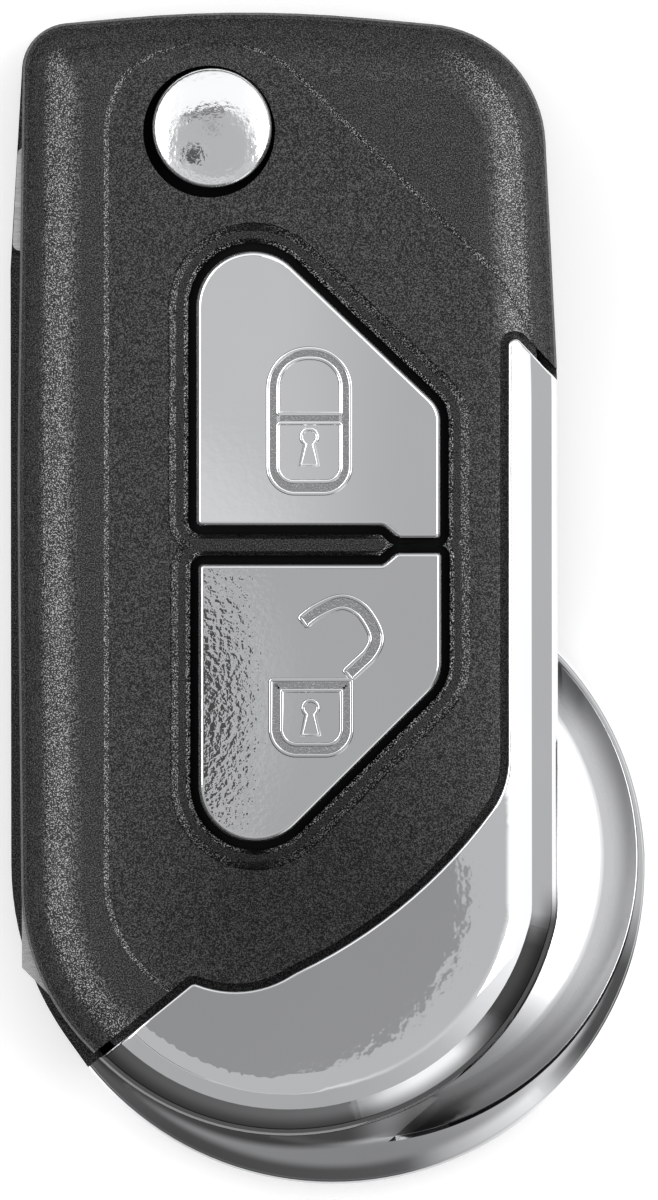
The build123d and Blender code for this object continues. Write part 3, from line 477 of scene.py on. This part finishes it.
cap_chrome_lock = chrome(
    "cap_chrome_lock", 0.85, 0.03, 1800.0, (14.5, -1.8), (4.0, 4.0), shadow=CAP_SHADOW,
    painted_dimming=darker_right,
)
# The unlock cap is the same chrome as the lock cap: its darker base is painted shade
cap_chrome_unlock = chrome(
    "cap_chrome_unlock", 0.63, 0.15, 2600.0, (9.5, -12.0), (6.0, 5.0), shadow=CAP_SHADOW,
    calm=(1.8, 5.2),
)
mark_chrome = chrome("mark_chrome", 0.42, 0.35, 7000.0, rough=0.1)
materials = {
    "front_cover": grained_plastic("cover_plastic", 0.011, 0.32),
    "back_cover": grained_plastic("back_plastic", 0.012, 0.1),
    "front_trim": chrome(
        "bezel_chrome", 0.78, 0.014, 1000.0, (1.2, -52.8), (1.41, 1.8), rough=0.012,
        painted_dimming=darker_skirt, even=even_end,
    ),
    "rear_collar": chrome(
        "collar_chrome", 0.84, 0.02, 200.0, rough=0.08, painted_dimming=darker_collar,
        blur=(DISH, 17.0, 20.0, 0.3), even=even_wall,
    ),
    "lock_button": cap_chrome_lock,
    "unlock_button": cap_chrome_unlock,
    "release_button": chrome(
        "release_chrome", 0.76, 0.2, 2500.0, rough=0.08, shadow=RELEASE_SHADOW,
    ),
    "blade_hub": satin_metal("hub_metal", 0.62, 0.3),
    "key_blade": satin_metal("blade_steel", 0.66, 0.24),
    "blade_pin": satin_metal("pin_steel", 0.5, 0.3),
    "flip_spring": satin_metal("spring_steel", 0.45, 0.3),
    "lock_dome": plain_plastic("dome_silicone", (0.6, 0.6, 0.57), 0.5),
    "lock_switch": satin_metal("switch_steel", 0.6, 0.28),
    "circuit_board": plain_plastic("board_green", (0.03, 0.16, 0.07), 0.3),
    "control_chip": plain_plastic("chip_black", (0.02, 0.02, 0.022), 0.45),
    "coin_cell": satin_metal("cell_steel", 0.7, 0.22),
    "board_carrier": plain_plastic("carrier_plastic", (0.1, 0.1, 0.11), 0.5),
    "positive_contact": satin_metal("contact_metal", 0.65, 0.25),
    "transponder_chip": plain_plastic("transponder_plastic", (0.03, 0.03, 0.035), 0.45),
    "case_screws": satin_metal("screw_steel", 0.12, 0.4),
}
materials["unlock_dome"] = materials["lock_dome"]
materials["unlock_switch"] = materials["lock_switch"]
materials["negative_contact"] = materials["positive_contact"]
for name, material in materials.items():
    node = nodes[name]
    node.data.materials.clear()
    node.data.materials.append(material)


def gives_way(node, name, body):
    """Piece that stands for a node: a copy of its mesh on a body of its own, the node hidden."""
    piece = add_object(name, nodes[node].data.copy())
    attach(piece, body)
    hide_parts(node)
    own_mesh(piece)


gives_way("flip_spring", "flip_coil", "hub")
gives_way("lock_dome", "lock_dome_skin", "housing")
gives_way("unlock_dome", "unlock_dome_skin", "housing")


# Padlock marks: low rims that stand on the caps
def arc(middle, radius, start, end, steps=14):
    """Points on a circle, angles in degrees, y up."""
    turns = [math.radians(start + (end - start) * step / steps) for step in range(steps + 1)]
    return [(middle[0] + radius * math.cos(t), middle[1] + radius * math.sin(t)) for t in turns]


def rounded(left, top, right, bottom, upper, lower):
    """Closed outline of a box in the photograph's pixels, its upper and lower corners rounded."""
    x0, y1 = place(left, top)
    x1, y0 = place(right, bottom)
    a = px(upper)
    b = px(lower)
    return (
        arc((x1 - a, y1 - a), a, 0, 90) + arc((x0 + a, y1 - a), a, 90, 180)
        + arc((x0 + b, y0 + b), b, 180, 270) + arc((x1 - b, y0 + b), b, 270, 360)
    )


def keyhole(head, radius, foot, top_half, foot_half):
    """Closed outline of a keyhole, its head a circle and its skirt widening to the foot."""
    cx, cy = place(*head)
    r = px(radius)
    start = math.degrees(math.asin(px(top_half) / r))
    foot_y = place(0, foot)[1]
    points = arc((cx, cy), r, -90 + start, 270 - start, 20)
    return points + [(cx - px(foot_half), foot_y), (cx + px(foot_half), foot_y)]


def curve(p0, p1, p2, p3, t):
    """Catmull-Rom value between p1 and p2."""
    return 0.5 * (
        2 * p1 + (p2 - p0) * t + (2 * p0 - 5 * p1 + 4 * p2 - p3) * t * t
        + (3 * p1 - p0 - 3 * p2 + p3) * t ** 3
    )


def smooth_path(points, steps=8):
    """Catmull-Rom line through points of the photograph."""
    pts = [place(*p) for p in points]
    ext = [pts[0]] + pts + [pts[-1]]
    line = []
    for i in range(1, len(ext) - 2):
        for k in range(steps):
            line.append(tuple(curve(*values, k / steps) for values in zip(*ext[i - 1:i + 3])))
    line.append(pts[-1])
    return line


def sideways(path, closed):
    """Unit vector to the left of a path at each of its points."""
    count = len(path)
    normals = []
    for i in range(count):
        before = path[i - 1] if closed or i else path[i]
        after = path[(i + 1) % count] if closed or i + 1 < count else path[i]
        dx = after[0] - before[0]
        dy = after[1] - before[1]
        size = math.hypot(dx, dy) or 1.0
        normals.append((-dy / size, dx / size))
    return normals


def beside(path, offset):
    """Open path moved sideways."""
    normals = sideways(path, False)
    return [(x + nx * offset, y + ny * offset) for (x, y), (nx, ny) in zip(path, normals)]


def swept(name, paths, profile, level, material, body):
    """Piece that sweeps a section of (offset, height) along plan paths."""
    mesh = bmesh.new()
    for path, closed in paths:
        rings = [
            [mesh.verts.new((x + nx * o, y + ny * o, level + h)) for o, h in profile]
            for (x, y), (nx, ny) in zip(path, sideways(path, closed))
        ]
        for i in range(len(path) if closed else len(path) - 1):
            a = rings[i]
            b = rings[(i + 1) % len(path)]
            for j in range(len(profile) - 1):
                mesh.faces.new((a[j], b[j], b[j + 1], a[j + 1]))
    bmesh.ops.recalc_face_normals(mesh, faces=mesh.faces)
    piece = built(name, mesh)
    for polygon in piece.data.polygons:
        polygon.use_smooth = True
    piece.data.materials.append(material)
    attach(piece, body)


def rim_profile(width, height, sunk, steps=6):
    """Half-round section, its foot sunk a little."""
    turns = [math.pi * k / steps for k in range(steps + 1)]
    return [(width / 2 * math.cos(t), height * math.sin(t) - sunk) for t in turns]


CAP_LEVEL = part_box("lock_button")[1][2]
RIM = rim_profile(px(4.4), 0.09 * MM, 0.01 * MM)
# The hollow of each stroke is a flat strip, dull and rough
HOLLOW = [(px(3.6), 0.012 * MM), (-px(3.6), 0.012 * MM)]
STROKE = px(6)
SHACKLE = smooth_path([
    (303, 622), (318, 611), (341, 602), (360, 609), (373, 627), (376, 641), (370, 654),
    (359.5, 664.5), (348, 675),
])

lock_paths = [
    (rounded(268, 348.5, 350.5, 493.5, 40, 27), True),
    (rounded(278, 358, 341, 414, 29, 1.5), True),
    (rounded(278, 423, 341, 481.5, 3, 15), True),
    (keyhole((309.3, 437), 8, 465, 4, 9), True),
]
unlock_paths = [
    (rounded(270.5, 680, 351.5, 755.5, 2, 26), True),
    (rounded(281.5, 690.5, 341.5, 744.5, 1.5, 15), True),
    (keyhole((310.5, 708), 7.5, 735, 4, 9), True),
    (beside(SHACKLE, STROKE) + beside(SHACKLE, -STROKE)[::-1], True),
]
lock_hollows = [
    (rounded(273, 353, 345.5, 487.5, 35, 22), True),
    ([place(280, 418.5), place(339, 418.5)], False),
]
unlock_hollows = [
    (rounded(276, 685.2, 346.5, 750, 1.5, 20.5), True),
    (SHACKLE, False),
]
swept("lock_mark", lock_paths, RIM, CAP_LEVEL, cap_chrome_lock, "lock")
swept("unlock_mark", unlock_paths, RIM, CAP_LEVEL, cap_chrome_unlock, "unlock")
swept("lock_hollow", lock_hollows, HOLLOW, CAP_LEVEL, mark_chrome, "lock")
swept("unlock_hollow", unlock_hollows, HOLLOW, CAP_LEVEL, mark_chrome, "unlock")


def white_paper():
    """Matt paper, seen a little brighter than it is lit, directly and in the chrome."""
    n = Finish("floor_white")
    n.give("Roughness", 0.9)
    n.give("Specular IOR Level", 0.1)
    n.give("Base Color", n.ramp(n.noise(30.0, 2.0), [(0.3, grey(0.9)), (0.7, grey(0.92))]))
    rays = n.add("ShaderNodeLightPath").outputs
    seen = n.larger(rays["Is Camera Ray"], rays["Is Glossy Ray"])
    seen = n.larger(seen, rays["Is Transmission Ray"])
    n.give("Emission Color", (1.0, 1.0, 1.0, 1.0))
    n.give("Emission Strength", n.times(seen, 0.25))
    return n.material


floor_mesh = bmesh.new()
bmesh.ops.create_grid(floor_mesh, x_segments=2, y_segments=2, size=2.0)
floor = built("floor", floor_mesh)
floor.location = (*centre, -0.1 * MM)
floor.data.materials.append(white_paper())

# World: a white tent. It is darker straight above, at the lens, and low down it changes with
# the compass: pale on the right, a bright panel at the front right, dark at the front left
world = bpy.data.worlds.new("tent")
world.use_nodes = True
scene.world = world
tent = Graph(world.node_tree)
dx, dy, dz = tent.parts(tent.add("ShaderNodeTexCoord").outputs["Generated"])
angle = tent.times(tent.math("ARCCOSINE", dz), 180 / math.pi)
heading = tent.math("ADD", tent.times(tent.math("ARCTAN2", dy, dx), 0.5 / math.pi), 0.5)


def compass(stops):
    """Brightness by compass direction: 0 is +X, 90 is +Y, the stops run from -180 to 180."""
    return tent.ramp(heading, [((turn + 180.0) / 360.0, grey(value)) for turn, value in stops])


inner = compass([
    (-180, WALL), (-150, 1.0), (-110, 1.25), (-78, 1.25), (-60, 0.8), (-28, 0.8), (-8, WALL),
    (180, WALL),
])
middle = compass([
    (-180, WALL), (-155, 0.75), (-130, 0.52), (-80, 0.5), (-66, 0.55), (-50, 0.62), (-32, 1.0),
    (-18, WALL), (70, WALL), (90, 0.9), (110, 0.9), (130, WALL), (180, WALL),
])
low = compass([
    (-180, 0.10), (-160, 0.08), (-90, 0.17), (-76, 0.2), (-68, 0.9), (-60, 1.2), (-49, 1.2),
    (-42, 0.4), (-36, 0.08), (-18, 0.09), (-6, 0.55), (20, 0.6), (60, 0.4), (100, 0.15),
    (150, 0.10), (180, 0.10),
])


def from_point(point, reach=(1.0, 1.0)):
    """Distance of the direction from a point, as a share of a reach each way."""
    return tent.diagonal(*(
        tent.math("DIVIDE", tent.math("SUBTRACT", value, middle), length)
        for value, middle, length in zip((dx, dy), point, reach)
    ))


# The grey panel overhead reaches further to the front than to the back
panel = from_point(PANEL_MIDDLE, PANEL_REACH)
dome = tent.blend(tent.between(angle, *LENS_EDGE), LENS, CEILING)
dome = tent.blend(tent.between(panel, *PANEL_EDGE), dome, inner)
dome = tent.blend(tent.between(angle, *INNER_EDGE), dome, middle)
dome = tent.blend(tent.between(angle, *MIDDLE_EDGE), dome, low)

# A dark slit behind the panel, bowed and narrow at its ends
bow = tent.times(tent.square(tent.math("SUBTRACT", dx, 0.1)), 0.5)
slit = tent.math("ABSOLUTE", tent.math("SUBTRACT", dy, tent.math("SUBTRACT", 0.19, bow)))
slit = tent.math("ADD", slit, tent.times(tent.square(tent.math("ADD", dx, 0.06)), 0.39))
dome = tent.blend(tent.between(slit, *SLIT_EDGE), SLIT, dome)

# The dark hole of a second lens, with a pale ring
hole = from_point(HOLE_MIDDLE)
dome = tent.blend(tent.between(hole, *HOLE_RING_EDGE), HOLE_RING, dome)
dome = tent.blend(tent.between(hole, *HOLE_EDGE), HOLE, dome)
background = world.node_tree.nodes["Background"]
tent.feed(background.inputs["Color"], dome)
tent.feed(background.inputs["Strength"], 1.0)


def lamp(name, towards, distance, size, power):
    """Soft area light that faces the fob from a direction."""
    data = bpy.data.lights.new(name, "AREA")
    data.shape = "RECTANGLE"
    data.size, data.size_y = size
    data.energy = power
    obj = add_object(name, data)
    unit = mathutils.Vector(towards).normalized()
    obj.location = mathutils.Vector((*centre, 0.0)) + unit * distance
    obj.rotation_euler = unit.to_track_quat("Z", "Y").to_euler()


lamp("right_softbox", (0.6, 0.05, 0.8), 1.0, (0.8, 0.35), 3.0)
lamp("left_softbox", (-0.6, 0.05, 0.8), 1.0, (0.8, 0.35), 3.0)
scene.view_settings.view_transform = "Standard"
